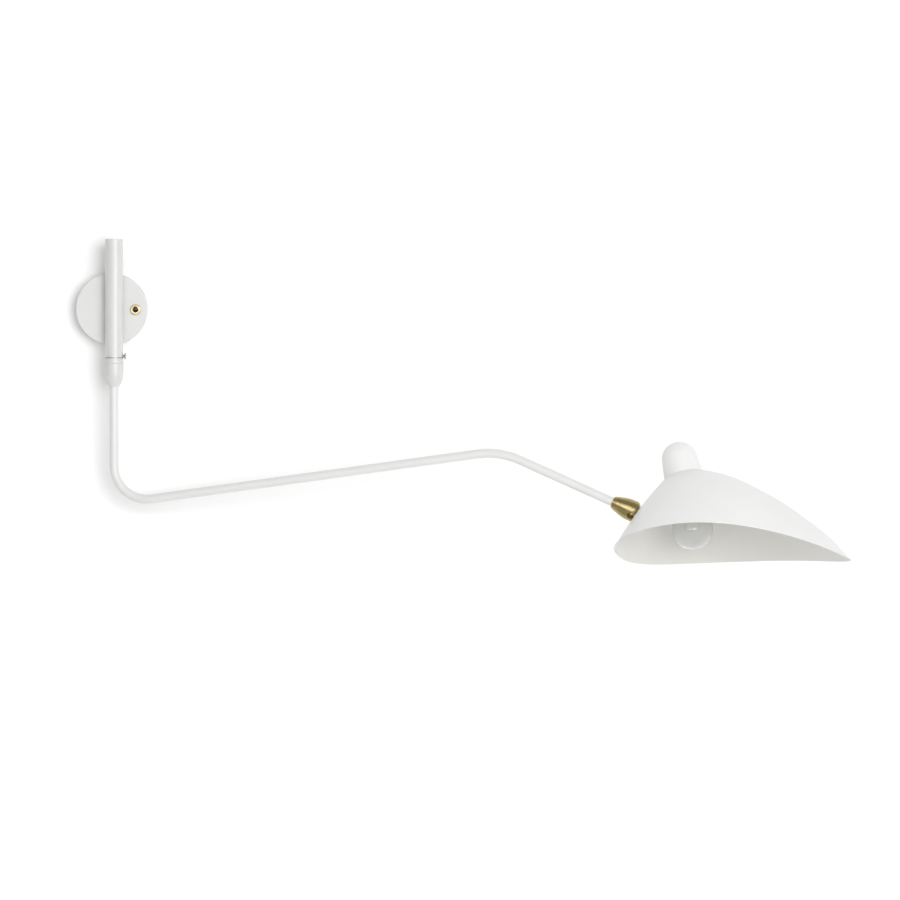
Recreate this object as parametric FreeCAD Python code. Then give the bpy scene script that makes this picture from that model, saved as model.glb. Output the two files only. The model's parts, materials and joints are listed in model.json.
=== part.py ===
import FreeCAD, Part
import math
import os
from FreeCAD import Placement, Rotation, Vector

# Swing arm wall sconce. Millimetres and degrees. The wall is the plane y = 0, the lamp stands out
# towards -y, +x runs to the right along the wall and +z is up. The origin is the centre of the
# canopy's back rim.

# ---- driving dimensions ------------------------------------------------------------------------
CANOPY_R = 50.8
CANOPY_DEPTH = 25.0
CANOPY_WALL = 1.6
CANOPY_EDGE_R = 1.5

BOX_SCREW_SPACING = 69.85
BOX_SCREW_R = 2.25
BRACKET_WIDTH = 16.0
SHEET = 1.6

STEM_X = 4.6
STEM_STANDOFF = 39.5
STEM_R = 12.7
STEM_WALL = 1.6
STEM_TOP_Z = 98.5
SEAM_Z = -70.2
COLLAR_R = 13.4
COLLAR_BOTTOM_Z = -78.0
CONE_SHOULDER_Z = -91.0
CONE_TIP_Z = -111.3
CONE_TIP_R = 7.0

SPINDLE_R = 8.0
SPINDLE_BORE_R = 5.0
RUN_FIT = 0.05
GAP = 0.3

TOGGLE_X = 34.5
TOGGLE_Z = -1.5
TOGGLE_TILT = 8.0
TOGGLE_BALL_R = 3.0

LOCK_Z = -67.8
LOCK_HEAD_R = 4.5
LOCK_SHANK_R = 1.3
LOCK_NECK_R = 1.7

TUBE_R = 6.35
TUBE_BORE_R = 5.35
SWING = 10.0
LOWER_BEND = (0.0, -277.6)
UPPER_BEND = (555.2, -202.2)
ARM_END = (715.9, -273.8)
LOWER_BEND_R = 47.5
UPPER_BEND_R = 113.0

CUP_LENGTH = 37.8
CUP_SPLIT = 10.0
CUP_END_R = 8.9
CUP_CORNER_R = 2.0
CUP_MAX_R = 14.75
BALL_R = 8.5
BALL_FROM_MOUTH = 7.5
BALL_FIT = 0.1
MOUTH_R = 7.0
SLOT_WIDTH = 10.0
STUD_R = 4.0
STUD_THREAD_R = 3.4
STUD_BORE_R = 2.2
BALL_TO_SHADE = 13.6
BOSS_R = 14.5
BOSS_HEIGHT = 1.8

SHADE_TILT = 15.5
SHADE_ROLL = 14.4
SHADE_WALL = 1.2
STUD_DEPTH = 39.3
NIPPLE_BASE_R = 27.4
NIPPLE_DOME_R = 25.1
NIPPLE_DOME_H = 24.2
# Sections of the shade, square to the axis of its nipple: depth below the nipple, reach to the
# front, reach to the back and half width.
SHADE_SECTIONS = (
    (-1.5, 24.0, 24.0, 24.0),
    (5.5, 38.0, 33.2, 36.5),
    (15.5, 56.0, 45.1, 52.0),
    (32.0, 79.5, 64.4, 72.0),
    (51.0, 101.0, 84.0, 91.0),
    (73.0, 123.2, 104.5, 108.0),
    (98.0, 145.0, 128.0, 121.5),
    (124.0, 165.2, 154.0, 130.0),
    (154.0, 185.8, 177.0, 135.0),
    (186.0, 203.9, 197.0, 137.0),
)
# The lower edge is cut along one arc, seen from the side: distance forward and height.
RIM_ARC = ((-119.0, -85.4), (33.0, -108.1), (195.0, -178.5))

BULB_TILT = 2.8
SOCKET_TOP = 20.0
SOCKET_BOTTOM = -24.0
SOCKET_R = 18.5
BULB_R = 29.0
BULB_CENTRE = -78.3
BULB_NECK_R = 12.6
BULB_BASE_R = 13.2
GLASS = 0.9

WIRE_R = 1.9
LEAD_R = 1.1

UP = Vector(0, 0, 1)
X_AXIS = Vector(1, 0, 0)
Y_AXIS = Vector(0, 1, 0)
ORIGIN = Vector(0, 0, 0)


# ---- helpers -----------------------------------------------------------------------------------
def frame(origin, z_dir, x_dir):
    """A placement whose z axis is z_dir and whose x axis leans towards x_dir."""
    return Placement(origin, Rotation(x_dir, z_dir.cross(x_dir), z_dir, "ZXY"))


def placed(shape, placement):
    """A copy of the shape moved by the placement."""
    copy = shape.copy()
    copy.Placement = placement.multiply(copy.Placement)
    return copy


def rod(radius, start, direction, length):
    """A solid cylinder."""
    return Part.makeCylinder(radius, length, start, direction)


def ring(outer, inner, start, direction, length):
    """A cylinder with a bore right through it."""
    bore = rod(inner, start - direction * 1.0, direction, length + 2.0)
    return rod(outer, start, direction, length).cut(bore)


def block(size, centre):
    """A box of the given size about its centre."""
    corner = centre - size * 0.5
    return Part.makeBox(size.x, size.y, size.z, corner)


def hexagon(across_flats, start, direction, length, side_hint):
    """A hexagonal bar."""
    radius = across_flats / math.sqrt(3.0)
    corners = []
    for step in range(7):
        angle = math.radians(60.0 * step)
        corners.append(Vector(radius * math.cos(angle), radius * math.sin(angle), 0))
    bar = Part.Face(Part.makePolygon(corners)).extrude(UP * length)
    return placed(bar, frame(start, direction, side_hint))


def nut(across_flats, bore, start, direction, length, side_hint):
    """A hexagonal nut."""
    body = hexagon(across_flats, start, direction, length, side_hint)
    return body.cut(rod(bore, start - direction, direction, length + 2.0))


def turned(points):
    """A body of revolution about z from (radius, height) points, or arcs given as three points."""
    wire = Part.Wire([turned_edge(a, b) for a, b in zip(points, points[1:])])
    return Part.Face(wire).revolve(ORIGIN, UP, 360)


def turned_edge(first, second):
    """One edge of a turned outline. A point with four numbers carries its arc's middle point."""
    start = Vector(first[0], 0, first[1])
    end = Vector(second[0], 0, second[1])
    if len(second) == 4:
        return Part.Arc(start, Vector(second[2], 0, second[3]), end).toShape()
    return Part.LineSegment(start, end).toShape()


def bent_path(points, radii):
    """Straight runs through the points, joined by tangent arcs of the given radii."""
    edges = []
    start = points[0]
    for before, corner, after, radius in zip(points, points[1:], points[2:], radii):
        into = (corner - before).normalize()
        out = (after - corner).normalize()
        turn = into.getAngle(out)
        trim = radius * math.tan(turn / 2.0)
        enter = corner - into * trim
        leave = corner + out * trim
        inward = (out - into).normalize()
        middle = corner + inward * (radius / math.cos(turn / 2.0) - radius)
        edges.append(Part.LineSegment(start, enter).toShape())
        edges.append(Part.Arc(enter, middle, leave).toShape())
        start = leave
    edges.append(Part.LineSegment(start, points[-1]).toShape())
    return Part.Wire(edges)


def swept(path, radius):
    """A round bar along a path."""
    first = path.Edges[0]
    start = first.valueAt(first.FirstParameter)
    direction = first.tangentAt(first.FirstParameter)
    outline = Part.Wire([Part.makeCircle(radius, start, direction)])
    return path.makePipeShell([outline], True, True)


def easy_radii(points):
    """The largest bend radii that the runs on each side of a point allow."""
    radii = []
    for before, corner, after in zip(points, points[1:], points[2:]):
        into = corner - before
        out = after - corner
        shorter = min(into.Length, out.Length)
        radii.append(0.45 * shorter / math.tan(into.getAngle(out) / 2.0))
    return radii


def wire_run(points, radius):
    """An insulated wire through the points."""
    return swept(bent_path(points, easy_radii(points)), radius)


# ---- the frames that the moving parts are drawn in ----------------------------------------------
STEM_AXIS = Vector(STEM_X, -STEM_STANDOFF, 0)
ARM_FRAME = Placement(STEM_AXIS, Rotation(UP, -SWING))


def arm_point(reach_height):
    """A point of the arm's own upright plane."""
    return Vector(reach_height[0], 0, reach_height[1])


def arm_end_direction():
    """The direction of the arm's last run."""
    return (arm_point(ARM_END) - arm_point(UPPER_BEND)).normalize()


def back_outline():
    """The back of the shade in its middle plane, from the sections."""
    outline = Part.BSplineCurve()
    outline.interpolate([Vector(-back, 0, -depth) for depth, _, back, _ in SHADE_SECTIONS])
    return outline


def stud_seat():
    """Where the stud goes through the back of the shade, and the outward normal there."""
    outline = back_outline()
    low, high = outline.FirstParameter, outline.LastParameter
    for _ in range(40):
        middle = (low + high) / 2.0
        if -outline.value(middle).z < STUD_DEPTH:
            low = middle
        else:
            high = middle
    along = Vector(*outline.tangent(low)[0])
    outward = Vector(along.z, 0, -along.x).normalize()
    return outline.value(low), outward


def shade_frame():
    """The placement of the shade, with its ball in the middle of the cup."""
    seat, outward = stud_seat()
    ball_in_shade = seat + outward * BALL_TO_SHADE
    ball = arm_point(ARM_END) + arm_end_direction() * (CUP_LENGTH - BALL_FROM_MOUTH)
    lean = Rotation(Y_AXIS, -SHADE_TILT).multiply(Rotation(X_AXIS, -SHADE_ROLL))
    here = Placement(ball, lean)
    return ARM_FRAME.multiply(here).multiply(Placement(-ball_in_shade, Rotation()))


SHADE_FRAME = shade_frame()
SEAT, SEAT_OUT = stud_seat()
BALL_CENTRE = SHADE_FRAME.multVec(SEAT + SEAT_OUT * BALL_TO_SHADE)
STUD_DIR = SHADE_FRAME.Rotation.multVec(-SEAT_OUT)
CUP_DIR = ARM_FRAME.Rotation.multVec(arm_end_direction())
SLOT_DIR = (STUD_DIR - CUP_DIR * STUD_DIR.dot(CUP_DIR)).normalize()
CUP_FRAME = frame(ARM_FRAME.multVec(arm_point(ARM_END)), CUP_DIR, SLOT_DIR)
STUD_FRAME = frame(BALL_CENTRE, STUD_DIR, CUP_DIR.cross(STUD_DIR).normalize())
BULB_FRAME = SHADE_FRAME.multiply(
    Placement(Vector(0, 0, SOCKET_TOP), Rotation(Y_AXIS, BULB_TILT))
).multiply(Placement(Vector(0, 0, -SOCKET_TOP), Rotation()))
BULB_IN_SHADE = SHADE_FRAME.inverse().multiply(BULB_FRAME)


# ---- wall side ---------------------------------------------------------------------------------
def canopy_shell():
    """The round wall plate: a shallow cup, open to the wall."""
    front = CANOPY_DEPTH
    edge = CANOPY_EDGE_R
    bow = edge * (1.0 - math.sqrt(0.5))
    cup = turned(
        [
            (0, front),
            (CANOPY_R - edge, front),
            (CANOPY_R, front - edge, CANOPY_R - bow, front - bow),
            (CANOPY_R, 0),
            (CANOPY_R - CANOPY_WALL, 0),
            (CANOPY_R - CANOPY_WALL, front - CANOPY_WALL),
            (0, front - CANOPY_WALL),
            (0, front),
        ]
    )
    cup = placed(cup, frame(ORIGIN, -Y_AXIS, X_AXIS))
    out = -Y_AXIS
    cup = cup.cut(rod(5.1, Vector(STEM_X, 0, 0), out, 40))
    cup = cup.cut(rod(6.1, Vector(TOGGLE_X, 0, TOGGLE_Z), out, 40))
    cup = cup.cut(rod(2.2, Vector(0, -12, -60), UP, 120))
    return cup


def mounting_bracket():
    """The steel crossbar that is screwed to the junction box, with two ears for the canopy."""
    bar = block(Vector(BRACKET_WIDTH, SHEET, 96.2), Vector(0, -SHEET / 2, 0))
    for side in (1, -1):
        ear = block(Vector(BRACKET_WIDTH, 18, SHEET), Vector(0, -9, side * 47.3))
        bar = bar.fuse(ear)
        hole = Vector(0, 1, side * BOX_SCREW_SPACING / 2)
        bar = bar.cut(rod(BOX_SCREW_R, hole, -Y_AXIS, 4))
    bar = bar.cut(rod(7, Vector(0, 1, 0), -Y_AXIS, 4))
    bar = bar.cut(rod(1.7, Vector(0, -12, -60), UP, 120))
    return bar.removeSplitter()


def canopy_side_screws():
    """Two low round-headed screws that hold the canopy to the ears of the bracket."""
    screws = []
    for side in (1, -1):
        way = UP * side
        head = rod(3.6, Vector(0, -12, 0) + way * (CANOPY_R + 0.05), way, 1.3)
        shank = rod(1.65, Vector(0, -12, 0) + way * 44.0, way, 7.5)
        slot = block(Vector(0.9, 9, 1.2), Vector(0, -12, side * (CANOPY_R + 1.5)))
        screws.append(head.fuse(shank).cut(slot))
    return Part.makeCompound(screws)


def ground_screw():
    """The earthing screw on the bracket."""
    start = Vector(0, -SHEET, -20)
    head = rod(4.0, start - Y_AXIS * 0.02, -Y_AXIS, 2.4)
    slot = block(Vector(6, 1.6, 1.0), start - Y_AXIS * 2.6)
    return head.cut(slot)


def stem_tube():
    """The upright tube, with a hole in its back for the hollow nipple and one for the lock screw."""
    bottom = STEM_AXIS + UP * (SEAM_Z + 0.55)
    tube = ring(STEM_R, STEM_R - STEM_WALL, bottom, UP, STEM_TOP_Z - SEAM_Z - 0.55)
    tube = tube.cut(rod(4.95, STEM_AXIS, Y_AXIS, 20))
    tube = tube.cut(rod(LOCK_SHANK_R + RUN_FIT, STEM_AXIS + UP * LOCK_Z, X_AXIS, 20))
    rim = [e for e in tube.Edges if e.BoundBox.ZMin > STEM_TOP_Z - 0.01]
    outer = max(rim, key=lambda e: e.BoundBox.XLength)
    return tube.makeFillet(0.8, [outer])


def stem_top_plug():
    """The disc that closes the top of the stem."""
    start = STEM_AXIS + UP * (STEM_TOP_Z - 3.2)
    return rod(STEM_R - STEM_WALL, start, UP, 3.0)


def stem_saddle():
    """The spacer between the flat canopy and the round stem."""
    spacer = ring(9.0, 4.95, Vector(STEM_X, -CANOPY_DEPTH, 0), -Y_AXIS, 8)
    return spacer.cut(rod(STEM_R, STEM_AXIS - UP * 30, UP, 60))


def stem_nipple():
    """The hollow threaded nipple that carries the stem and lets the cable through."""
    return ring(4.9, 3.2, Vector(STEM_X, -30.5, 0), Y_AXIS, 14.5)


def nipple_washer():
    """The washer behind the canopy's front."""
    return ring(9.0, 4.95, Vector(STEM_X, -23.4, 0), Y_AXIS, 1.4)


def nipple_lock_nut():
    """The nut that clamps the stem to the canopy."""
    return nut(14.0, 4.9, Vector(STEM_X, -22.0, 0), Y_AXIS, 4.0, UP)


def toggle_body():
    """The body of the toggle switch, inside the canopy."""
    body = block(Vector(13, 15, 17), Vector(TOGGLE_X, -13.9, TOGGLE_Z))
    cavity = rod(3.4, Vector(TOGGLE_X, -22, TOGGLE_Z), Y_AXIS, 4.5)
    return body.cut(cavity)


def toggle_terminals():
    """The two blades of the switch."""
    blades = []
    for side in (1, -1):
        centre = Vector(TOGGLE_X, -4.4, TOGGLE_Z + side * 4.5)
        blades.append(block(Vector(4.8, 4.0, 0.8), centre))
    return Part.makeCompound(blades)


def toggle_bushing():
    """The threaded barrel of the switch, with a conical mouth for the lever."""
    start = Vector(TOGGLE_X, -21.4, TOGGLE_Z)
    barrel = ring(5.9, 3.4, start, -Y_AXIS, 7.0)
    mouth = Part.makeCone(3.4, 4.1, 1.6, start - Y_AXIS * 5.5, -Y_AXIS)
    return barrel.cut(mouth)


def toggle_back_nut():
    """The nut of the switch behind the canopy's front."""
    return nut(14.0, 5.9, Vector(TOGGLE_X, -23.4, TOGGLE_Z), Y_AXIS, 1.9, UP)


def toggle_dress_nut():
    """The round brass nut on the front, with a bevelled edge."""
    profile = turned(
        [(5.9, 0), (7.8, 0), (7.8, 1.2), (6.7, 2.5), (5.9, 2.5), (5.9, 0)]
    )
    return placed(profile, frame(Vector(TOGGLE_X, -CANOPY_DEPTH, TOGGLE_Z), -Y_AXIS, X_AXIS))


def toggle_lever():
    """The ball-ended lever of the switch, resting in its upper position."""
    shank = Part.makeCone(1.5, 1.9, 12.0, ORIGIN, UP)
    pivot = Part.makeSphere(2.6, ORIGIN)
    tip = Part.makeSphere(TOGGLE_BALL_R, Vector(0, 0, 12.5))
    lever = shank.fuse(pivot).fuse(tip).removeSplitter()
    out = Rotation(X_AXIS, -TOGGLE_TILT).multVec(-Y_AXIS)
    return placed(lever, frame(toggle_pivot(), out, X_AXIS))


def toggle_pivot():
    """The middle of the lever's pivot."""
    return Vector(TOGGLE_X, -22.6, TOGGLE_Z)


def swivel_bush():
    """The bearing bush in the foot of the stem."""
    start = STEM_AXIS + UP * (SEAM_Z + 0.55)
    bush = ring(STEM_R - STEM_WALL, SPINDLE_R + RUN_FIT, start, UP, 18)
    return bush.cut(rod(LOCK_SHANK_R + RUN_FIT, STEM_AXIS + UP * LOCK_Z, X_AXIS, 20))


def friction_washer():
    """The thin brass washer between the stem and the swivel."""
    return ring(12.95, SPINDLE_R + RUN_FIT, STEM_AXIS + UP * (SEAM_Z - 0.55), UP, 1.1)


def lock_screw():
    """The thumb screw that locks the swing."""
    start = STEM_AXIS + UP * LOCK_Z
    shank = rod(LOCK_SHANK_R, start + X_AXIS * (SPINDLE_R + GAP), X_AXIS, 7.0)
    neck = rod(LOCK_NECK_R, start + X_AXIS * (STEM_R + 0.15), X_AXIS, 2.2)
    head = rod(LOCK_HEAD_R, start + X_AXIS * (STEM_R + 2.2), X_AXIS, 1.9)
    return shank.fuse(neck).fuse(head.makeChamfer(0.3, head.Edges[:1])).removeSplitter()


def stem_wire():
    """The cable from the swivel up the stem, through the nipple and into the canopy."""
    points = [
        STEM_AXIS + UP * (SEAM_Z + 27.5),
        STEM_AXIS,
        Vector(STEM_X, -12.5, 0),
    ]
    return swept(bent_path(points, [11.0]), WIRE_R)


def wire_connectors():
    """Two twist-on connectors, lying in the lower left of the canopy."""
    caps = []
    for x, z in ((-22, -10), (-24, 12)):
        caps.append(Part.makeCone(5.0, 3.4, 15, Vector(x, -12.5, z), -X_AXIS))
    return Part.makeCompound(caps)


def canopy_leads():
    """The leads from the cable and the switch to the connectors."""
    upper = [
        Vector(STEM_X, -11.0, 1.0),
        Vector(STEM_X - 1, -5.5, 4.0),
        Vector(-10, -6.5, 12.5),
        Vector(-22.8, -12.5, 12),
    ]
    lower = [
        Vector(TOGGLE_X, -4.2, TOGGLE_Z - 5.0),
        Vector(TOGGLE_X - 0.5, -4.4, -13),
        Vector(22, -6.5, -18),
        Vector(-6, -9.0, -15),
        Vector(-20.8, -12.5, -10),
    ]
    return Part.makeCompound([wire_run(upper, LEAD_R), wire_run(lower, LEAD_R)])


# ---- arm ---------------------------------------------------------------------------------------
def swivel_collar():
    """The upper ring of the swivel."""
    start = STEM_AXIS + UP * COLLAR_BOTTOM_Z
    height = SEAM_Z - 0.6 - COLLAR_BOTTOM_Z
    collar = ring(COLLAR_R, SPINDLE_R, start, UP, height)
    outer = [e for e in collar.Edges if e.BoundBox.XLength > 2 * COLLAR_R - 0.1]
    rims = [e for e in outer if e.BoundBox.ZLength < 0.01]
    return collar.makeFillet(0.6, rims)


def swivel_cone():
    """The bullet-shaped foot of the swivel, bored for the spindle and the arm tube."""
    shoulder = COLLAR_BOTTOM_Z - CONE_SHOULDER_Z
    total = COLLAR_BOTTOM_Z - CONE_TIP_Z
    middle = shoulder + 0.55 * (total - shoulder)
    cone = turned(
        [
            (TUBE_R, -total),
            (CONE_TIP_R - 0.15, -total),
            (CONE_TIP_R, -total + 0.3),
            (COLLAR_R, -shoulder, 11.55, -middle),
            (COLLAR_R, -0.6),
            (COLLAR_R - 0.6, 0),
            (SPINDLE_R, 0),
            (SPINDLE_R, -12),
            (SPINDLE_BORE_R, -12),
            (SPINDLE_BORE_R, -14),
            (TUBE_R, -14),
            (TUBE_R, -total),
        ]
    )
    return placed(cone, Placement(STEM_AXIS + UP * COLLAR_BOTTOM_Z, Rotation()))


def swivel_spindle():
    """The hollow spindle that turns in the bush of the stem."""
    start = STEM_AXIS + UP * (COLLAR_BOTTOM_Z - 12)
    return ring(SPINDLE_R, SPINDLE_BORE_R, start, UP, 46.5)


def swivel_wave_washer():
    """The spring washer above the bush, drawn flat."""
    start = STEM_AXIS + UP * (SEAM_Z + 0.55 + 18.05)
    return ring(10.4, SPINDLE_R, start, UP, 0.9)


def spindle_nut():
    """The nut that keeps the spindle in the stem."""
    start = STEM_AXIS + UP * (SEAM_Z + 0.55 + 18.95)
    return nut(18.0, SPINDLE_R, start, UP, 5.0, X_AXIS)


def arm_path(start_z, end_shift):
    """The centre line of the arm, from inside the cone to its outer end."""
    end = arm_point(ARM_END) + arm_end_direction() * end_shift
    points = [Vector(0, 0, start_z), arm_point(LOWER_BEND), arm_point(UPPER_BEND), end]
    return bent_path(points, [LOWER_BEND_R, UPPER_BEND_R])


def arm_tube():
    """The bent steel tube."""
    path = arm_path(COLLAR_BOTTOM_Z - 14, 0)
    tube = swept(path, TUBE_R).cut(swept(path, TUBE_BORE_R))
    return placed(tube, ARM_FRAME)


def arm_wire():
    """The cable inside the arm."""
    path = arm_path(COLLAR_BOTTOM_Z - 11, 4)
    return placed(swept(path, WIRE_R), ARM_FRAME)


def arm_end_nipple():
    """The turned fitting in the end of the arm that the cup turns on."""
    fitting = turned(
        [
            (2.6, -14),
            (TUBE_BORE_R, -14),
            (TUBE_BORE_R, 0),
            (4.8, 0),
            (4.8, 13.5),
            (2.6, 13.5),
            (2.6, -14),
        ]
    )
    return placed(fitting, CUP_FRAME)


def cup_nut():
    """The nut inside the cup that keeps the cup on the arm."""
    return placed(nut(12.0, 4.8, Vector(0, 0, 10.6), UP, 2.9, X_AXIS), CUP_FRAME)


# ---- knuckle -----------------------------------------------------------------------------------
def cup_rear():
    """The small end of the brass cup, with the spigot that screws into the front."""
    bow = CUP_CORNER_R * (1.0 - math.sqrt(0.5))
    rear = turned(
        [
            (4.85, RUN_FIT),
            (CUP_END_R - CUP_CORNER_R, RUN_FIT),
            (CUP_END_R, CUP_CORNER_R, CUP_END_R - bow, RUN_FIT + bow),
            (11.55, CUP_SPLIT, 10.45, 5.9),
            (9.2, CUP_SPLIT),
            (9.2, CUP_SPLIT + 5),
            (8.0, CUP_SPLIT + 5),
            (8.0, CUP_SPLIT),
            (4.85, CUP_SPLIT),
            (4.85, RUN_FIT),
        ]
    )
    return placed(rear, CUP_FRAME)


def cup_front():
    """The front of the brass cup: the seat of the ball, the flared mouth and the slot."""
    ball = CUP_LENGTH - BALL_FROM_MOUTH
    seat = BALL_R + BALL_FIT
    throat = ball + math.sqrt(seat * seat - MOUTH_R * MOUTH_R)
    lean = 0.5 * math.atan2(throat - ball, MOUTH_R)
    front = turned(
        [
            (9.2, CUP_SPLIT),
            (11.55, CUP_SPLIT),
            (CUP_MAX_R, 30.0, 14.1, 19.5),
            (11.0, CUP_LENGTH, 14.0, 35.2),
            (9.4, CUP_LENGTH, 10.2, CUP_LENGTH + 0.25),
            (MOUTH_R, throat),
            (seat, ball, seat * math.cos(lean), ball + seat * math.sin(lean)),
            (seat, CUP_SPLIT + 5.2),
            (9.2, CUP_SPLIT + 5.2),
            (9.2, CUP_SPLIT),
        ]
    )
    slot = block(Vector(20, SLOT_WIDTH, 12), Vector(10, 0, ball + 2.0 + 6.0))
    round_end = rod(SLOT_WIDTH / 2, Vector(0, 0, ball + 2.0), X_AXIS, 20)
    return placed(front.cut(slot.fuse(round_end)), CUP_FRAME)


def pressure_spring():
    """The spring washers that press the seat on the ball."""
    discs = []
    for step in range(3):
        discs.append(ring(8.2, 6.9, Vector(0, 0, 15.4 + step * 0.9), UP, 0.7))
    return placed(Part.makeCompound(discs), CUP_FRAME)


def ball_seat():
    """The hollowed pad behind the ball."""
    ball = CUP_LENGTH - BALL_FROM_MOUTH
    pad = ring(8.4, 3.6, Vector(0, 0, 18.2), UP, 7.0)
    return placed(pad.cut(Part.makeSphere(BALL_R + BALL_FIT, Vector(0, 0, ball))), CUP_FRAME)


# ---- ball --------------------------------------------------------------------------------------
def swivel_ball():
    """The drilled ball."""
    ball = Part.makeSphere(BALL_R, ORIGIN)
    bore = rod(STUD_BORE_R, Vector(0, 0, -12), UP, 24)
    socket = rod(STUD_R, Vector(0, 0, 3), UP, 12)
    mouth = Part.makeCone(4.6, STUD_BORE_R, 4.0, Vector(0, 0, -8.6), UP)
    return placed(ball.cut(bore).cut(socket).cut(mouth), STUD_FRAME)


def ball_stud():
    """The hollow stud between the ball and the shade."""
    shoulder = BALL_TO_SHADE - BOSS_HEIGHT - RUN_FIT
    stud = turned(
        [
            (STUD_BORE_R, 3),
            (STUD_R, 3),
            (STUD_R, shoulder),
            (STUD_THREAD_R, shoulder),
            (STUD_THREAD_R, BALL_TO_SHADE + 8.4),
            (STUD_BORE_R, BALL_TO_SHADE + 8.4),
            (STUD_BORE_R, 3),
        ]
    )
    return placed(stud, STUD_FRAME)


def stud_spring_washer():
    """The spring washer under the stud nut."""
    start = Vector(0, 0, BALL_TO_SHADE + SHADE_WALL + 3.15)
    return placed(ring(5.6, STUD_THREAD_R, start, UP, 0.8), STUD_FRAME)


def stud_nut():
    """The nut inside the shade."""
    start = Vector(0, 0, BALL_TO_SHADE + SHADE_WALL + 3.95)
    return placed(nut(10.0, STUD_THREAD_R, start, UP, 3.0, X_AXIS), STUD_FRAME)


# ---- shade -------------------------------------------------------------------------------------
def section_wire(depth, front, back, side):
    """One egg-shaped section, rounder at the back and more pointed at the front as it gets deeper."""
    ease = min(max((depth - 20.0) / 70.0, 0.0), 1.0)
    ease = ease * ease * (3.0 - 2.0 * ease)
    points = []
    count = 28
    for step in range(count):
        turn = 2.0 * math.pi * step / count
        forward = math.cos(turn)
        across = math.sin(turn)
        reach = front if forward > 0 else back
        power = 1.0 + 0.35 * ease if forward > 0 else 1.0 - 0.22 * ease
        width = math.copysign(side * abs(across) ** power, across)
        points.append(Vector(reach * forward, width, -depth))
    outline = Part.BSplineCurve()
    outline.interpolate(points, PeriodicFlag=True)
    return Part.Wire([outline.toShape()])


def shade_solid(inset):
    """The solid bounded by the shade's skin, drawn in by inset, with its nipple."""
    wires = []
    last = len(SHADE_SECTIONS) - 1
    for number, (depth, *reaches) in enumerate(SHADE_SECTIONS):
        before = SHADE_SECTIONS[max(number - 1, 0)]
        after = SHADE_SECTIONS[min(number + 1, last)]
        inner = []
        for column, reach in enumerate(reaches, start=1):
            slope = (after[column] - before[column]) / (after[0] - before[0])
            inner.append(reach - inset * math.hypot(1.0, slope))
        wires.append(section_wire(depth, *inner))
    body = Part.makeLoft(wires, True, False)
    base = NIPPLE_BASE_R - inset
    dome = NIPPLE_DOME_R - inset
    bow = dome * math.sqrt(0.5)
    nipple = turned(
        [
            (0, -3),
            (base, -3),
            (base, 0),
            (dome, NIPPLE_DOME_H),
            (0, NIPPLE_DOME_H + dome, bow, NIPPLE_DOME_H + bow),
            (0, -3),
        ]
    )
    return body.fuse(nipple)


def rim_cutter():
    """Everything below the arched lower edge."""
    corners = [Vector(x, 0, z) for x, z in RIM_ARC]
    circle = Part.Arc(*corners).toShape().Curve
    return rod(circle.Radius, circle.Center - Y_AXIS * 250, Y_AXIS, 500)


def bare_shade():
    """The thin shell of the shade in its own frame, before its hole."""
    return shade_solid(0.0).cut(shade_solid(SHADE_WALL)).cut(rim_cutter())


def seat_rod(radius, start, length):
    """A cylinder on the stud's axis in the shade's frame, from a distance outside the skin."""
    return rod(radius, SEAT + SEAT_OUT * start, -SEAT_OUT, length)


def shade_shell(bare):
    """The spun shade, with the hole for its stud."""
    hole = seat_rod(STUD_THREAD_R + RUN_FIT, 10, 25)
    return placed(bare.cut(hole), SHADE_FRAME)


def stud_outer_washer():
    """The saddle washer outside the shade."""
    washer = seat_rod(BOSS_R, BOSS_HEIGHT, 6.0).cut(seat_rod(STUD_THREAD_R + RUN_FIT, 6, 20))
    outside = shade_solid(0.0)
    return placed(washer.cut(outside), SHADE_FRAME)


def stud_inner_washer():
    """The saddle washer inside the shade."""
    washer = seat_rod(7.5, 1.0, 2.5 + SHADE_WALL).cut(seat_rod(STUD_THREAD_R + RUN_FIT, 6, 20))
    inside = shade_solid(SHADE_WALL)
    return placed(washer.common(inside), SHADE_FRAME)


def socket_bracket():
    """The steel strap from the stud to the ring that grips the lamp socket."""
    inward = -SEAT_OUT
    along = Vector(-inward.z, 0, inward.x)
    foot = SEAT + inward * (SHADE_WALL + 1.52)
    to_ring = BULB_IN_SHADE.multVec(Vector(-SOCKET_R - 0.9, 0, -16))
    toe = foot - along * 7.5
    heel = foot + along * 9.0
    line = [toe, heel, to_ring + Vector(-6, 0, 1.2), to_ring]
    strap = strap_along(line, 1.5, 12.0)
    strap = strap.cut(seat_rod(STUD_THREAD_R + RUN_FIT, 6, 30))
    grip = ring(SOCKET_R + 1.6, SOCKET_R + RUN_FIT, Vector(0, 0, -20), UP, 8)
    grip = placed(grip, BULB_IN_SHADE)
    well = placed(rod(SOCKET_R + RUN_FIT, Vector(0, 0, -40), UP, 70), BULB_IN_SHADE)
    return placed(strap.cut(well).fuse(grip), SHADE_FRAME)


def strap_along(line, thickness, width):
    """A flat strap that follows a line in the middle plane, on its inner side."""
    near = []
    far = []
    for number, point in enumerate(line):
        before = line[max(number - 1, 0)]
        after = line[min(number + 1, len(line) - 1)]
        way = (after - before).normalize()
        side = Vector(way.z, 0, -way.x)
        near.append(point)
        far.append(point + side * thickness)
    loop = near + far[::-1] + near[:1]
    lift = Y_AXIS * (width / 2)
    face = Part.Face(Part.makePolygon([point - lift for point in loop]))
    return face.extrude(Y_AXIS * width)


def bracket_screw():
    """The screw that closes the ring of the bracket."""
    screw = rod(3.0, Vector(0, SOCKET_R + 1.62, -16), Y_AXIS, 1.6)
    return placed(placed(screw, BULB_IN_SHADE), SHADE_FRAME)


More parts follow.
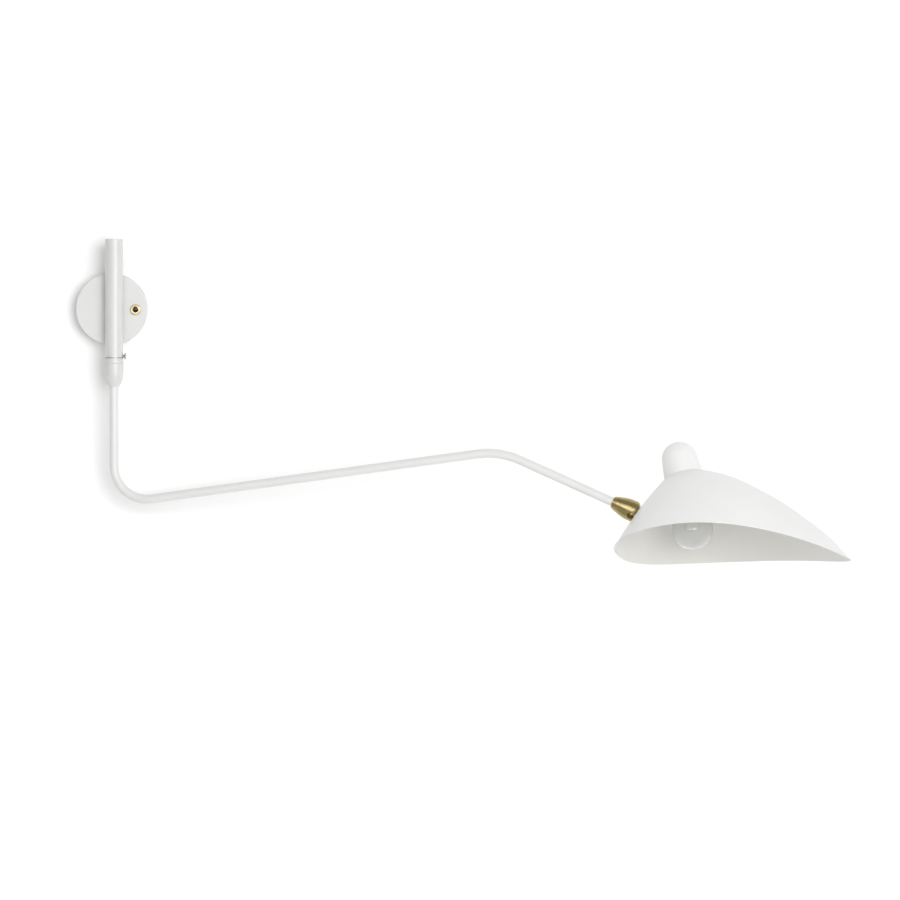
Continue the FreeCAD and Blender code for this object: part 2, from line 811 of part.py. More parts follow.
def socket_cap():
    """The domed cap on top of the socket, with the hole for the wires."""
    cap = turned(
        [
            (0, SOCKET_TOP),
            (SOCKET_R, SOCKET_TOP),
            (SOCKET_R, SOCKET_TOP + 1),
            (13.0, SOCKET_TOP + 7, 16.9, SOCKET_TOP + 5),
            (0, SOCKET_TOP + 7),
            (0, SOCKET_TOP),
        ]
    )
    return placed(cap.cut(rod(4.8, Vector(0, 0, SOCKET_TOP - 1), UP, 12)), BULB_FRAME)


def socket_body():
    """The insulating body of the lamp socket."""
    body = rod(SOCKET_R, Vector(0, 0, SOCKET_BOTTOM), UP, SOCKET_TOP - SOCKET_BOTTOM)
    well = rod(14.2, Vector(0, 0, SOCKET_BOTTOM - 1), UP, 1 - SOCKET_BOTTOM)
    return placed(body.cut(well), BULB_FRAME)


def socket_shell():
    """The brass screw shell of the socket."""
    return placed(ring(14.15, 13.45, Vector(0, 0, -22), UP, 21.5), BULB_FRAME)


def socket_contact():
    """The centre contact of the socket."""
    return placed(rod(4.0, Vector(0, 0, -0.9), UP, 0.9), BULB_FRAME)


def bulb_base():
    """The threaded metal base of the bulb, with its contact."""
    crest = BULB_BASE_R
    root = BULB_BASE_R - 0.9
    points = [(0, -1.0), (4.2, -1.0), (4.2, -2.6), (9.8, -4.6), (root, -5.4)]
    height = -6.2
    for _ in range(4):
        points.append((crest, height))
        points.append((crest, height - 0.9))
        points.append((root, height - 1.9))
        points.append((root, height - 2.6))
        height -= 3.5
    points += [(BULB_BASE_R, -21.4), (BULB_BASE_R, -26.5), (12.0, -26.5), (12.0, -20), (0, -20)]
    return placed(turned(points + [(0, -1.0)]), BULB_FRAME)


def bulb_outline(inset):
    """The outline of the pear-shaped glass from its neck to its tip."""
    globe = BULB_R - inset
    neck = BULB_NECK_R - inset
    lean = math.radians(38.0)
    join = (globe * math.cos(lean), BULB_CENTRE + globe * math.sin(lean))
    side = (0.5 * (join[0] + neck) - 0.9, 0.5 * (join[1] - 33.0))
    low = math.sqrt(0.5) * globe
    return [
        (neck, -26.6),
        (neck, -33.0),
        (join[0], join[1], side[0], side[1]),
        (0, BULB_CENTRE - globe, low, BULB_CENTRE - low),
    ]


def bulb_glass():
    """The hollow clear glass of the bulb."""
    outer = bulb_outline(0.0)
    inner = bulb_outline(GLASS)
    whole = turned([(0, -26.6)] + outer + [(0, -26.6)])
    hollow = turned([(0, -26.6)] + inner + [(0, -26.6)])
    return placed(whole.cut(hollow), BULB_FRAME)


def bulb_stem():
    """The glass mount inside the bulb."""
    mount = turned(
        [
            (0, -26.6),
            (10.5, -26.6),
            (4.0, -37.0, 5.2, -30.0),
            (2.6, -54.0),
            (1.6, -66.0),
            (0, -66.0),
            (0, -26.6),
        ]
    )
    return placed(mount, BULB_FRAME)


def bulb_filament():
    """The two support wires and the hooped filament of the bulb."""
    parts = []
    for side in (1, -1):
        foot = Vector(side * 3.6, 0, -50)
        top = Vector(side * 11.0, 0, -76)
        parts.append(wire_run([foot, Vector(side * 4.5, 0, -60), top], 0.35))
    hoop = [Vector(-11, 0, -76.6), Vector(-6, 4, -80), Vector(6, 4, -80), Vector(11, 0, -76.6)]
    parts.append(wire_run(hoop, 0.3))
    return placed(Part.makeCompound(parts), BULB_FRAME)


def socket_wires():
    """The cable from the hollow stud up beside the socket and into its cap."""
    inward = -SEAT_OUT
    start = SEAT - inward * (BALL_TO_SHADE - 5)
    out = SEAT + inward * 13.0
    points = [
        start,
        out,
        Vector(-46, 9, -56),
        Vector(-32, 19.5, -44),
        Vector(-22, 19.5, -24),
        Vector(-17.5, 14.6, -4),
        Vector(-16.6, 13.8, 14),
        Vector(-15.0, 11.5, 28),
        Vector(-7.0, 5.0, 34.5),
        Vector(-0.4, 0.2, 26.0),
    ]
    return placed(wire_run(points, 1.7), SHADE_FRAME)


# ---- the whole lamp ----------------------------------------------------------------------------
def shade_parts():
    """The shade and what is fixed to it."""
    bare = bare_shade()
    return {
        "shade_shell": shade_shell(bare),
        "stud_outer_washer": stud_outer_washer(),
        "stud_inner_washer": stud_inner_washer(),
        "socket_bracket": socket_bracket(),
        "bracket_screw": bracket_screw(),
        "socket_cap": socket_cap(),
        "socket_body": socket_body(),
        "socket_screw_shell": socket_shell(),
        "socket_contact": socket_contact(),
        "socket_wires": socket_wires(),
        "bulb_base": bulb_base(),
        "bulb_glass": bulb_glass(),
        "bulb_stem": bulb_stem(),
        "bulb_filament": bulb_filament(),
    }


def moving_parts():
    """The arm, the knuckle and the ball."""
    return {
        "swivel_collar": swivel_collar(),
        "swivel_cone": swivel_cone(),
        "swivel_spindle": swivel_spindle(),
        "swivel_wave_washer": swivel_wave_washer(),
        "spindle_nut": spindle_nut(),
        "arm_tube": arm_tube(),
        "arm_wire": arm_wire(),
        "arm_end_nipple": arm_end_nipple(),
        "cup_nut": cup_nut(),
        "cup_rear": cup_rear(),
        "cup_front": cup_front(),
        "pressure_spring": pressure_spring(),
        "ball_seat": ball_seat(),
        "swivel_ball": swivel_ball(),
        "ball_stud": ball_stud(),
        "stud_spring_washer": stud_spring_washer(),
        "stud_nut": stud_nut(),
        "toggle_lever": toggle_lever(),
        "lock_screw": lock_screw(),
    }


def wall_parts():
    """Everything that stays still on the wall."""
    return {
        "canopy_shell": canopy_shell(),
        "mounting_bracket": mounting_bracket(),
        "canopy_side_screws": canopy_side_screws(),
        "ground_screw": ground_screw(),
        "stem_tube": stem_tube(),
        "stem_top_plug": stem_top_plug(),
        "stem_saddle": stem_saddle(),
        "stem_nipple": stem_nipple(),
        "nipple_washer": nipple_washer(),
        "nipple_lock_nut": nipple_lock_nut(),
        "toggle_body": toggle_body(),
        "toggle_terminals": toggle_terminals(),
        "toggle_bushing": toggle_bushing(),
        "toggle_back_nut": toggle_back_nut(),
        "toggle_dress_nut": toggle_dress_nut(),
        "swivel_bush": swivel_bush(),
        "friction_washer": friction_washer(),
        "stem_wire": stem_wire(),
        "wire_connectors": wire_connectors(),
        "canopy_leads": canopy_leads(),
    }


def main():
    """Builds every piece and writes one STEP file for each."""
    os.makedirs("parts", exist_ok=True)
    pieces = {**wall_parts(), **moving_parts(), **shade_parts()}
    for name, shape in pieces.items():
        shape.exportStep(f"parts/{name}.step")
    return pieces


PIECES = main()
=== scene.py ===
import json
import math

import bmesh
import bpy
from mathutils import Matrix, Vector

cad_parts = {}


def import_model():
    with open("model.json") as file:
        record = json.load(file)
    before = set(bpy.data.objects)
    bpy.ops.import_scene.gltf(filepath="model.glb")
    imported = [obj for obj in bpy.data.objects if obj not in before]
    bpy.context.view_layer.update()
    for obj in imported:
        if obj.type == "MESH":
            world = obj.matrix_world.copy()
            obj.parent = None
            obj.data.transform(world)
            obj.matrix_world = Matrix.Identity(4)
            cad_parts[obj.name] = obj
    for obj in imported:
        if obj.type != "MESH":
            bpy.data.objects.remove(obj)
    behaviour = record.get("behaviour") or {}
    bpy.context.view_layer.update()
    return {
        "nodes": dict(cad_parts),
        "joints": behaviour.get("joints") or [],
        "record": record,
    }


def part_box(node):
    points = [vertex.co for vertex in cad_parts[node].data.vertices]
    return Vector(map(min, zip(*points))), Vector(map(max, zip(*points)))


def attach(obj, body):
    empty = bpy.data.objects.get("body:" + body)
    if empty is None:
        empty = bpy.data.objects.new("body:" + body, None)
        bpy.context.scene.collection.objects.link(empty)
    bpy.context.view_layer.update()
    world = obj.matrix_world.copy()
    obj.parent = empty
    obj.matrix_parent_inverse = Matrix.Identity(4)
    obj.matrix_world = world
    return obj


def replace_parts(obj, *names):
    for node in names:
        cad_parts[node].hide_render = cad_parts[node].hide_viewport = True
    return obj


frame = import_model()

NODES = frame["nodes"]
JOINTS = {joint["name"]: joint for joint in frame["joints"]}
SLOTS = {part["node"]: part["material_slot"] for part in frame["record"]["subparts"]}

# Metres throughout. The wall is the plane y = 0 and the lamp stands out towards -y.
CAMERA_AT = (0.4817, -9.0, -0.201)
CAMERA_LENS = 252.4
LAMP_MIDDLE = Vector((0.48, 0.0, -0.20))
# What the lights are aimed at, and what throws the wall key's shadow.
CANOPY = Vector((0.0, 0.0, 0.0))
KNUCKLE = Vector((0.72, -0.165, -0.28))
SHADOW_NODES = ("canopy_shell", "stem_tube", "stem_top_plug", "swivel_collar", "swivel_cone", "arm_tube")

# The key light is aimed at the canopy, so that the shadows there fall the right way, and stands
# nearer to the shade, which is the brighter end. The wall has a key light of its own.
KEY_DIRECTION = Vector((0.397, -0.912, 0.105))
KEY_DISTANCE = 5.2
KEY_WIDTH = 3.0
KEY_POWER = 121.0
WALL_KEY_DISTANCE = 12.0
WALL_KEY_WIDTH = 8.7
WALL_KEY_POWER = 890.0
# A small light from the left that only the brass cup catches, for the pale streak along it.
GLINT_DIRECTION = Vector((-0.60, -0.75, 0.30))
GLINT_DISTANCE = 4.0
GLINT_WIDTH = 1.4
GLINT_POWER = 34.0
FILL_DIRECTION = Vector((-0.05, -1.0, 0.12))
FILL_DISTANCE = 8.0
FILL_WIDTH = 7.0
FILL_POWER = 190.0
WORLD_STRENGTH = 0.35

FLOOR_Z = -1.3
FLOOR_HALF = 30.0
WALL_HALF = 4.0
WALL_TOP = 2.6
WALL_HOLE_R = 0.046

# The shade's rolled edge: its radius, the depth below the nipple's top where the edge begins, how
# sharp the sheet's edge is in degrees, and the step along it.
RIM_BEAD_R = 0.0009
RIM_BELOW_TOP = 0.125
RIM_ANGLE = 50.0
RIM_STEP = 0.0025

OUT = Vector((0.0, -1.0, 0.0))
UP = Vector((0.0, 0.0, 1.0))
# The way the nipple of the shade points at rest, to within a degree.
SHADE_UP = Vector((-0.204, 0.288, 0.936))


# ---- material helpers --------------------------------------------------------------------------
def add(tree, kind, **settings):
    """A new shader node with its settings."""
    node = tree.nodes.new(kind)
    for key, value in settings.items():
        setattr(node, key, value)
    return node


def new_material(name, colour, roughness, metallic=0.0):
    """A material with a Principled shader and its plain values."""
    material = bpy.data.materials.new(name)
    material.use_nodes = True
    shader = material.node_tree.nodes["Principled BSDF"]
    shader.inputs["Base Color"].default_value = (*colour, 1.0)
    shader.inputs["Roughness"].default_value = roughness
    shader.inputs["Metallic"].default_value = metallic
    return material, material.node_tree, shader


def own_coordinates(tree, turn=None, stretch=(1.0, 1.0, 1.0)):
    """The object's own coordinates, turned and then stretched."""
    place = add(tree, "ShaderNodeTexCoord").outputs["Object"]
    if turn is not None:
        turned = add(tree, "ShaderNodeMapping")
        turned.inputs["Rotation"].default_value = turn
        tree.links.new(place, turned.inputs["Vector"])
        place = turned.outputs["Vector"]
    stretched = add(tree, "ShaderNodeMapping")
    stretched.inputs["Scale"].default_value = stretch
    tree.links.new(place, stretched.inputs["Vector"])
    return stretched.outputs["Vector"]


def grain(tree, place, scale, detail=3.0):
    """Noise from 0 to 1."""
    noise = add(tree, "ShaderNodeTexNoise")
    noise.inputs["Scale"].default_value = scale
    noise.inputs["Detail"].default_value = detail
    tree.links.new(place, noise.inputs["Vector"])
    return noise.outputs["Fac"]


def spread(tree, value, low, high, start=0.3, end=0.7):
    """Takes a value from start..end to low..high."""
    ranged = add(tree, "ShaderNodeMapRange")
    ranged.inputs["From Min"].default_value = start
    ranged.inputs["From Max"].default_value = end
    ranged.inputs["To Min"].default_value = low
    ranged.inputs["To Max"].default_value = high
    tree.links.new(value, ranged.inputs["Value"])
    return ranged.outputs["Result"]


def mixed(tree, value, first, second):
    """A colour between two, by a value from 0 to 1. Either may be a colour or another node's output."""
    mix = add(tree, "ShaderNodeMix", data_type="RGBA")
    tree.links.new(value, mix.inputs["Factor"])
    for socket, colour in ((mix.inputs["A"], first), (mix.inputs["B"], second)):
        if isinstance(colour, tuple):
            socket.default_value = (*colour, 1.0)
        else:
            tree.links.new(colour, socket)
    return mix.outputs["Result"]


def bumped(tree, shader, heights):
    """Gives the shader a bump from (height, strength, distance) layers."""
    normal = None
    for height, strength, distance in heights:
        bump = add(tree, "ShaderNodeBump")
        bump.inputs["Strength"].default_value = strength
        bump.inputs["Distance"].default_value = distance
        tree.links.new(height, bump.inputs["Height"])
        if normal is not None:
            tree.links.new(normal, bump.inputs["Normal"])
        normal = bump.outputs["Normal"]
    tree.links.new(normal, shader.inputs["Normal"])


def shaded(colour, amount):
    """A lighter or darker shade of a colour."""
    return tuple(channel * amount for channel in colour)


# ---- materials ---------------------------------------------------------------------------------
def enamel(name, colour, roughness, inside_painted_shade=None):
    """Sprayed and baked paint: a faint orange peel and a slightly uneven gloss. The last argument, when
    given, is a darker, warmer colour painted on the sides that face down out of the shade: painted shade
    and warm bounce light for its inside."""
    material, tree, shader = new_material(name, colour, roughness)
    place = own_coordinates(tree)
    cloud = grain(tree, place, 14.0)
    base = mixed(tree, spread(tree, cloud, 0.0, 1.0), shaded(colour, 0.985), shaded(colour, 1.012))
    # Sides that face down out of the shade take the darker, warmer colour: painted shade for the inside.
    if inside_painted_shade is not None:
        lean = add(tree, "ShaderNodeVectorMath", operation="DOT_PRODUCT")
        tree.links.new(add(tree, "ShaderNodeTexCoord").outputs["Normal"], lean.inputs[0])
        lean.inputs[1].default_value = SHADE_UP
        base = mixed(tree, spread(tree, lean.outputs["Value"], 0.0, 1.0, -0.05, 0.05), inside_painted_shade, base)
    tree.links.new(base, shader.inputs["Base Color"])
    rubs = grain(tree, place, 55.0, 3.0)
    uneven = spread(tree, rubs, roughness - 0.02, roughness + 0.03)
    tree.links.new(uneven, shader.inputs["Roughness"])
    peel = grain(tree, place, 620.0, 2.0)
    bumped(tree, shader, [(peel, 0.08, 0.0002)])
    shader.inputs["Coat Weight"].default_value = 0.12
    shader.inputs["Coat Roughness"].default_value = 0.22
    return material


def turned_metal(name, dark, light, roughness, axis):
    """Metal turned on a lathe: fine rings about an axis that draw its reflections out along it."""
    turn = Vector(axis).rotation_difference(UP).to_euler()
    material, tree, shader = new_material(name, light, roughness, 1.0)
    rings = grain(tree, own_coordinates(tree, turn, (12.0, 12.0, 2600.0)), 1.0, 3.0)
    smears = grain(tree, own_coordinates(tree, turn, (240.0, 240.0, 12.0)), 1.0, 2.0)
    tone = mixed(tree, spread(tree, smears, 0.0, 1.0), light, dark)
    tree.links.new(tone, shader.inputs["Base Color"])
    tree.links.new(spread(tree, rings, roughness - 0.03, roughness + 0.05), shader.inputs["Roughness"])
    along = add(tree, "ShaderNodeVectorTransform", vector_type="VECTOR")
    along.convert_from = "OBJECT"
    along.convert_to = "WORLD"
    along.inputs["Vector"].default_value = axis
    tree.links.new(along.outputs["Vector"], shader.inputs["Tangent"])
    shader.inputs["Anisotropic"].default_value = 0.9
    bumped(tree, shader, [(rings, 0.10, 0.00003), (smears, 0.05, 0.00005)])
    return material


def plated_metal(name, colour, tarnish, roughness):
    """Plated or turned steel: cloudy colour, small scratches and handling marks."""
    material, tree, shader = new_material(name, colour, roughness, 1.0)
    place = own_coordinates(tree)
    cloud = grain(tree, place, 120.0, 5.0)
    scratches = grain(tree, own_coordinates(tree, (0.3, 0.5, 0.9), (2400.0, 2400.0, 90.0)), 1.0, 3.0)
    tree.links.new(mixed(tree, spread(tree, cloud, 0.0, 1.0), colour, tarnish), shader.inputs["Base Color"])
    tree.links.new(spread(tree, scratches, roughness - 0.06, roughness + 0.10), shader.inputs["Roughness"])
    bumped(tree, shader, [(scratches, 0.12, 0.00005)])
    return material


def moulding(name, colour, roughness, scale):
    """Moulded plastic or glazed ceramic with a fine grain."""
    material, tree, shader = new_material(name, colour, roughness)
    place = own_coordinates(tree)
    fine = grain(tree, place, scale, 4.0)
    cloud = grain(tree, place, 40.0)
    tone = mixed(tree, spread(tree, cloud, 0.0, 1.0), shaded(colour, 0.92), shaded(colour, 1.05))
    tree.links.new(tone, shader.inputs["Base Color"])
    tree.links.new(spread(tree, fine, roughness - 0.05, roughness + 0.07), shader.inputs["Roughness"])
    bumped(tree, shader, [(fine, 0.15, 0.0001)])
    return material


def braid(name, colour):
    """A braided sleeve: two sets of fine threads that cross, painted darker where the first set is low, as
    painted shade in the grooves.
    """
    material, tree, shader = new_material(name, colour, 0.75)
    heights = []
    for lean in (0.8, -0.8):
        wave = add(tree, "ShaderNodeTexWave", wave_type="BANDS", bands_direction="Z")
        wave.inputs["Scale"].default_value = 420.0
        wave.inputs["Distortion"].default_value = 0.6
        tree.links.new(own_coordinates(tree, (lean, lean, 0.0)), wave.inputs["Vector"])
        heights.append((wave.outputs["Fac"], 0.5, 0.00015))
    threads_and_groove_shade = heights[0][0]
    # Darker where the first set of threads is low: painted shade in the grooves of the weave.
    tree.links.new(mixed(tree, threads_and_groove_shade, shaded(colour, 0.72), colour), shader.inputs["Base Color"])
    bumped(tree, shader, heights)
    shader.inputs["Sheen Weight"].default_value = 0.25
    return material


def lead_insulation(name):
    """The two leads in the canopy: white above the switch and black below it."""
    white = (0.80, 0.79, 0.76)
    black = (0.018, 0.018, 0.020)
    material, tree, shader = new_material(name, white, 0.38)
    split = add(tree, "ShaderNodeSeparateXYZ")
    tree.links.new(own_coordinates(tree), split.inputs["Vector"])
    upper = spread(tree, split.outputs["Z"], 0.0, 1.0, -0.0031, -0.0029)
    tree.links.new(mixed(tree, upper, black, white), shader.inputs["Base Color"])
    fine = grain(tree, own_coordinates(tree), 900.0, 3.0)
    tree.links.new(spread(tree, fine, 0.32, 0.46), shader.inputs["Roughness"])
    bumped(tree, shader, [(fine, 0.12, 0.0001)])
    return material


def clear_glass(name):
    """Thin blown glass, very slightly wavy."""
    material, tree, shader = new_material(name, (0.985, 0.99, 0.985), 0.015)
    shader.inputs["Transmission Weight"].default_value = 0.86
    shader.inputs["IOR"].default_value = 1.47
    waves = grain(tree, own_coordinates(tree), 55.0, 1.0)
    bumped(tree, shader, [(waves, 0.05, 0.0004)])
    smears = grain(tree, own_coordinates(tree), 160.0, 4.0)
    tree.links.new(spread(tree, smears, 0.005, 0.045), shader.inputs["Roughness"])
    return material


def wall_paint():
    """Matt white wall paint, seen only from the room. From behind the wall lets the view through."""
    colour = (0.905, 0.905, 0.905)
    material, tree, shader = new_material("wall_paint", colour, 0.85)
    place = own_coordinates(tree)
    stipple = grain(tree, place, 420.0, 3.0)
    tone = mixed(tree, spread(tree, stipple, 0.0, 1.0), shaded(colour, 0.994), shaded(colour, 1.006))
    tree.links.new(tone, shader.inputs["Base Color"])
    bumped(tree, shader, [(stipple, 0.12, 0.0002)])
    clear = add(tree, "ShaderNodeBsdfTransparent")
    choice = add(tree, "ShaderNodeMixShader")
    tree.links.new(add(tree, "ShaderNodeNewGeometry").outputs["Backfacing"], choice.inputs[0])
    tree.links.new(shader.outputs[0], choice.inputs[1])
    tree.links.new(clear.outputs[0], choice.inputs[2])
    tree.links.new(choice.outputs[0], tree.nodes["Material Output"].inputs["Surface"])
    return material


def floor_paint():
    """A plain pale floor."""
    return moulding("floor_paint", (0.80, 0.80, 0.79), 0.7, 60.0)


CUP_AXIS = JOINTS["cup_turn"]["axis"]
MATERIALS = {
    # white_enamel, the arm's copy in dress_nodes and white_enamel_shade are lit and shaded copies of one
    # white paint: darker on the canopy and stem, lighter on the arm and lighter still on the shade. This is
    # painted shade and painted light for how brightly each part is lit. The shade's is partly a whiter
    # paint as well.
    "white_enamel": enamel("white_enamel", (0.690, 0.692, 0.682), 0.31),
    # The shade's paint is painted darker and warmer on its inside, as painted shade.
    "white_enamel_shade": enamel(
        "white_enamel_shade", (0.835, 0.835, 0.83), 0.36, inside_painted_shade=(0.80, 0.792, 0.762)
    ),
    "satin_brass": turned_metal("satin_brass", (0.33, 0.26, 0.10), (0.47, 0.39, 0.19), 0.40, CUP_AXIS),
    "polished_brass": plated_metal("polished_brass", (0.80, 0.69, 0.46), (0.55, 0.43, 0.24), 0.20),
    "dark_chrome": plated_metal("dark_chrome", (0.10, 0.10, 0.10), (0.05, 0.05, 0.045), 0.12),
    "burnished_steel": plated_metal("burnished_steel", (0.52, 0.50, 0.44), (0.34, 0.32, 0.27), 0.28),
    "zinc_steel": plated_metal("zinc_steel", (0.62, 0.63, 0.66), (0.55, 0.53, 0.44), 0.33),
    "green_screw": plated_metal("green_screw", (0.05, 0.30, 0.10), (0.03, 0.20, 0.07), 0.30),
    "black_moulding": moulding("black_moulding", (0.022, 0.022, 0.024), 0.45, 1800.0),
    "acetal": moulding("acetal", (0.78, 0.77, 0.72), 0.40, 700.0),
    "wire_sleeve": braid("wire_sleeve", (0.78, 0.78, 0.75)),
    "socket_moulding": moulding("socket_moulding", (0.82, 0.81, 0.76), 0.16, 160.0),
    "bulb_metal": plated_metal("bulb_metal", (0.78, 0.78, 0.76), (0.62, 0.62, 0.60), 0.24),
    "clear_glass": clear_glass("clear_glass"),
    "filament": plated_metal("filament", (0.34, 0.31, 0.28), (0.20, 0.18, 0.16), 0.35),
}


def dress_nodes():
    """Gives every CAD node the material of its slot."""
    for name, node in NODES.items():
        for slot in node.material_slots:
            slot.material = MATERIALS[SLOTS[name]]
    NODES["canopy_leads"].material_slots[0].material = lead_insulation("lead_insulation")
    dull = plated_metal("dull_brass", (0.45, 0.40, 0.32), (0.36, 0.31, 0.24), 0.45)
    NODES["friction_washer"].material_slots[0].material = dull
    # The arm gets a lighter copy of the canopy's white paint: painted light for its brightly lit run.
    NODES["arm_tube"].material_slots[0].material = enamel("arm_enamel_painted_lighter", (0.755, 0.757, 0.745), 0.31)


# ---- mesh helpers ------------------------------------------------------------------------------
def placement(origin, axis, side):
    """The matrix whose z axis is axis and whose x axis leans towards side."""
    z_axis = Vector(axis).normalized()
    y_axis = z_axis.cross(Vector(side)).normalized()
    x_axis = y_axis.cross(z_axis)
    turn = Matrix((x_axis, y_axis, z_axis)).transposed().to_4x4()
    return Matrix.Translation(origin) @ turn


def finished(mesh, name, slot, body, sharp=35.0):
    """Turns a bmesh into a piece with its material, on its body."""
    bmesh.ops.remove_doubles(mesh, verts=mesh.verts, dist=1e-7)
    bmesh.ops.recalc_face_normals(mesh, faces=mesh.faces)
    data = bpy.data.meshes.new(name)
    mesh.to_mesh(data)
    mesh.free()
    data.polygons.foreach_set("use_smooth", [True] * len(data.polygons))
    data.set_sharp_from_angle(angle=math.radians(sharp))
    piece = bpy.data.objects.new(name, data)
    bpy.context.scene.collection.objects.link(piece)
    data.materials.append(MATERIALS[slot])
    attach(piece, body)
    return piece


def lathed(mesh, profile, steps, where, cut=None):
    """Adds a turned body to a bmesh. The profile is (radius, height) points. cut(angle, number) is
    what each ring's radius is multiplied by."""
    rings = []
    for number, (radius, height) in enumerate(profile):
        ring = []
        for step in range(steps):
            angle = 2.0 * math.pi * step / steps
            reach = radius * (cut(angle, number) if cut else 1.0)
            point = Vector((reach * math.cos(angle), reach * math.sin(angle), height))
            ring.append(mesh.verts.new(where @ point))
        rings.append(ring)
    for lower, upper in zip(rings, rings[1:]):
        for step in range(steps):
            after = (step + 1) % steps
            mesh.faces.new((lower[step], lower[after], upper[after], upper[step]))
    return rings


def closed_ends(mesh, rings):
    """Closes a turned body with a flat face at each end."""
    mesh.faces.new(rings[0][::-1])
    mesh.faces.new(rings[-1])


def closed_tube(mesh, rings):
    """Joins the last ring of a turned body to its first, for a body with a bore."""
    count = len(rings[0])
    for step in range(count):
        after = (step + 1) % count
        mesh.faces.new((rings[-1][step], rings[-1][after], rings[0][after], rings[0][step]))


def loop_bar(mesh, points, radius, sides):
    """Adds a thin round bar along a closed row of points."""
    count = len(points)
    rings = []
    side = (points[1] - points[-1]).orthogonal()
    for number, point in enumerate(points):
        way = (points[(number + 1) % count] - points[number - 1]).normalized()
        side = (side - way * side.dot(way)).normalized()
        up = way.cross(side)
        ring = []
        for step in range(sides):
            angle = 2.0 * math.pi * step / sides
            offset = side * math.cos(angle) + up * math.sin(angle)
            ring.append(mesh.verts.new(point + offset * radius))
        rings.append(ring)
    for number, lower in enumerate(rings):
        upper = rings[(number + 1) % count]
        shift = 0
        if number == count - 1:
            gaps = [(lower[0].co - other.co).length for other in upper]
            shift = gaps.index(min(gaps))
        for step in range(sides):
            after = (step + 1) % sides
            mesh.faces.new(
                (lower[step], lower[after], upper[(after + shift) % sides], upper[(step + shift) % sides])
            )


# ---- pieces with more detail than their CAD nodes ----------------------------------------------
def toggle_face_nut():
    """The round brass nut of the switch, with a serrated edge and a bevelled, dished front."""
    low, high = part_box("toggle_dress_nut")
    radius = (high.x - low.x) / 2.0
    height = high.y - low.y
    bore = (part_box("toggle_bushing")[1].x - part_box("toggle_bushing")[0].x) / 2.0
    origin = Vector(((low.x + high.x) / 2.0, high.y, (low.z + high.z) / 2.0))
    teeth = 48
    serrated = (2, 3)

    def cut(angle, number):
        if number not in serrated:
            return 1.0
        return 1.0 - 0.030 * (0.5 - 0.5 * math.cos(angle * teeth))

    profile = [
        (bore, 0.0),
        (radius * 0.97, 0.0),
        (radius, 0.0002),
        (radius, height * 0.50),
        (radius * 0.955, height * 0.62),
        (radius * 0.88, height * 0.97),
        (radius * 0.86, height),
        (bore * 1.04, height),
        (bore, height * 0.94),
    ]
    mesh = bmesh.new()
    closed_tube(mesh, lathed(mesh, profile, teeth * 6, placement(origin, OUT, UP), cut))
    face_nut = finished(mesh, "toggle_face_nut", "polished_brass", "wall_mount")
    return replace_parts(face_nut, "toggle_dress_nut")


def lock_thumb_screw():
    """The thumb screw of the swing lock, with a straight-knurled head."""
    low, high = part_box("lock_screw")
    head = (high.z - low.z) / 2.0
    length = high.x - low.x
    origin = Vector((low.x, (low.y + high.y) / 2.0, (low.z + high.z) / 2.0))
    shank = 0.0015
    neck = 0.0021
    neck_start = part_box("stem_tube")[1].x + 0.00015 - low.x
    head_start = length - 0.0019
    teeth = 28
    knurled = (9, 10)

    def cut(angle, number):
        if number not in knurled:
            return 1.0
        return 1.0 - 0.07 * (0.5 - 0.5 * math.cos(angle * teeth))

    profile = [(0.0007, 0.0), (shank, 0.0006)]
    profile += [(shank, neck_start), (neck, neck_start), (neck, head_start)]
    profile += [
        (head * 0.62, head_start),
        (head * 0.90, head_start),
        (head * 0.93, head_start + 0.00005),
        (head * 0.96, head_start + 0.00015),
        (head, head_start + 0.0003),
        (head, length - 0.0006),
        (head * 0.93, length - 0.0002),
        (head * 0.80, length - 0.00004),
        (head * 0.30, length),
    ]
    mesh = bmesh.new()
    rings = lathed(mesh, profile, teeth * 6, placement(origin, (1.0, 0.0, 0.0), UP), cut)
    closed_ends(mesh, rings)
    thumb_screw = finished(mesh, "lock_thumb_screw", "burnished_steel", "lock")
    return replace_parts(thumb_screw, "lock_screw")


def rim_points():
    """The outer lower edge of the shade, in order, a few millimetres apart."""
    mesh = bmesh.new()
    mesh.from_mesh(NODES["shade_shell"].data)
    bmesh.ops.remove_doubles(mesh, verts=mesh.verts, dist=1e-6)
    top = max(vert.co.dot(SHADE_UP) for vert in mesh.verts)
    beside = {}
    for edge in mesh.edges:
        sharp = len(edge.link_faces) == 2 and edge.calc_face_angle() > math.radians(RIM_ANGLE)
        if sharp and min(top - vert.co.dot(SHADE_UP) for vert in edge.verts) > RIM_BELOW_TOP:
            first, second = edge.verts
            beside.setdefault(first, []).append(second)
            beside.setdefault(second, []).append(first)
    loops = []
    while beside:
        loop = [next(iter(beside))]
        while loop[-1] in beside:
            onward = [vert for vert in beside.pop(loop[-1]) if vert in beside]
            if onward:
                loop.append(onward[0])
        loops.append([vert.co.copy() for vert in loop])
    mesh.free()
    longest = max(loops, key=len)
    kept = [longest[0]]
    for point in longest:
        if (point - kept[-1]).length > RIM_STEP:
            kept.append(point)
    return kept


def rim_bead():
    """The rolled edge of the shade, which catches the light as a thin bright line."""
    mesh = bmesh.new()
    loop_bar(mesh, rim_points(), RIM_BEAD_R, 12)
    return finished(mesh, "rim_bead", "white_enamel_shade", "shade", 60.0)


# ---- stage -------------------------------------------------------------------------------------
def stage_piece(name, mesh, material):
    """Turns a bmesh into a piece of the stage."""
    data = bpy.data.meshes.new(name)
    mesh.to_mesh(data)
    mesh.free()
    data.materials.append(material)
    piece = bpy.data.objects.new(name, data)
    bpy.context.scene.collection.objects.link(piece)
    return piece


